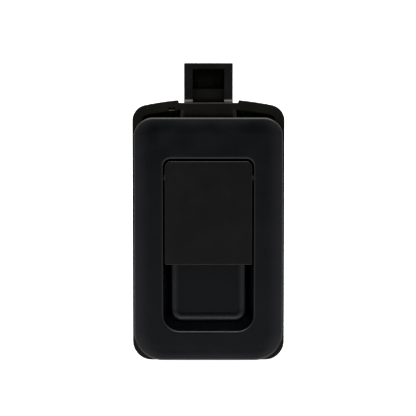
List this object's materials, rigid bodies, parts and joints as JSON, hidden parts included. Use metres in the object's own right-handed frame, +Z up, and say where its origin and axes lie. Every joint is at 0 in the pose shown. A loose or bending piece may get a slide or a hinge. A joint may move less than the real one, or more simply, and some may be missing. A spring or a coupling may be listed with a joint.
{
  "type": "locker catch",
  "caption": "Flush pull catch for a locker door: a flap in a rounded front plate draws down a sprung, bevelled bolt in a guide behind the door",
  "frame": {"origin": "Centre of the front plate, on the face of the door panel that the gasket is clamped against", "axes": "+X to the right seen from the front, +Y to the rear of the door, +Z up along the bolt"},
  "size_m": [0.0694, 0.0308, 0.136],
  "materials": {
    "bezel_plastic": "matte black glass-filled nylon, fine spark texture",
    "flap_plastic": "matte black nylon",
    "bolt_plastic": "satin black acetal",
    "gasket_rubber": "black foam rubber",
    "pin_steel": "stainless steel",
    "spring_steel": "drawn stainless spring wire",
    "screw_steel": "zinc-plated steel"
  },
  "bodies": {
    "housing": {"front_bezel": "bezel_plastic", "bezel_gasket": "gasket_rubber", "rear_bracket": "bezel_plastic", "rear_cover": "bezel_plastic", "flap_pivot_pin": "pin_steel", "pin_clip_left": "pin_steel", "pin_clip_right": "pin_steel", "flap_spring": "spring_steel", "bolt_spring_left": "spring_steel", "bolt_spring_right": "spring_steel", "mounting_screw_1": "screw_steel", "mounting_screw_2": "screw_steel", "mounting_screw_3": "screw_steel", "mounting_screw_4": "screw_steel", "cover_screw_1": "screw_steel", "cover_screw_2": "screw_steel", "cover_screw_3": "screw_steel", "cover_screw_4": "screw_steel"},
    "flap": {"pull_flap": "flap_plastic"},
    "bolt": {"latch_bolt": "bolt_plastic"}
  },
  "joints": [
    {"name": "flap_pull", "type": "hinge", "parent": "housing", "child": "flap", "pos_m": [0, -0.0008, 0.0278], "axis": [-1, 0, 0], "range_deg": [0, 40], "stiffness_Nm_per_rad": 0.08, "springref_deg": -28.65, "deforming": ["flap_spring"]},
    {"name": "bolt_slide", "type": "slide", "parent": "housing", "child": "bolt", "axis": [0, 0, -1], "range_m": [0, 0.0131], "deforming": ["bolt_spring_left", "bolt_spring_right"]}
  ],
  "couplings": [
    {"joint": "bolt_slide", "follows": "flap_pull", "m_per_rad": 0.018616}
  ]
}
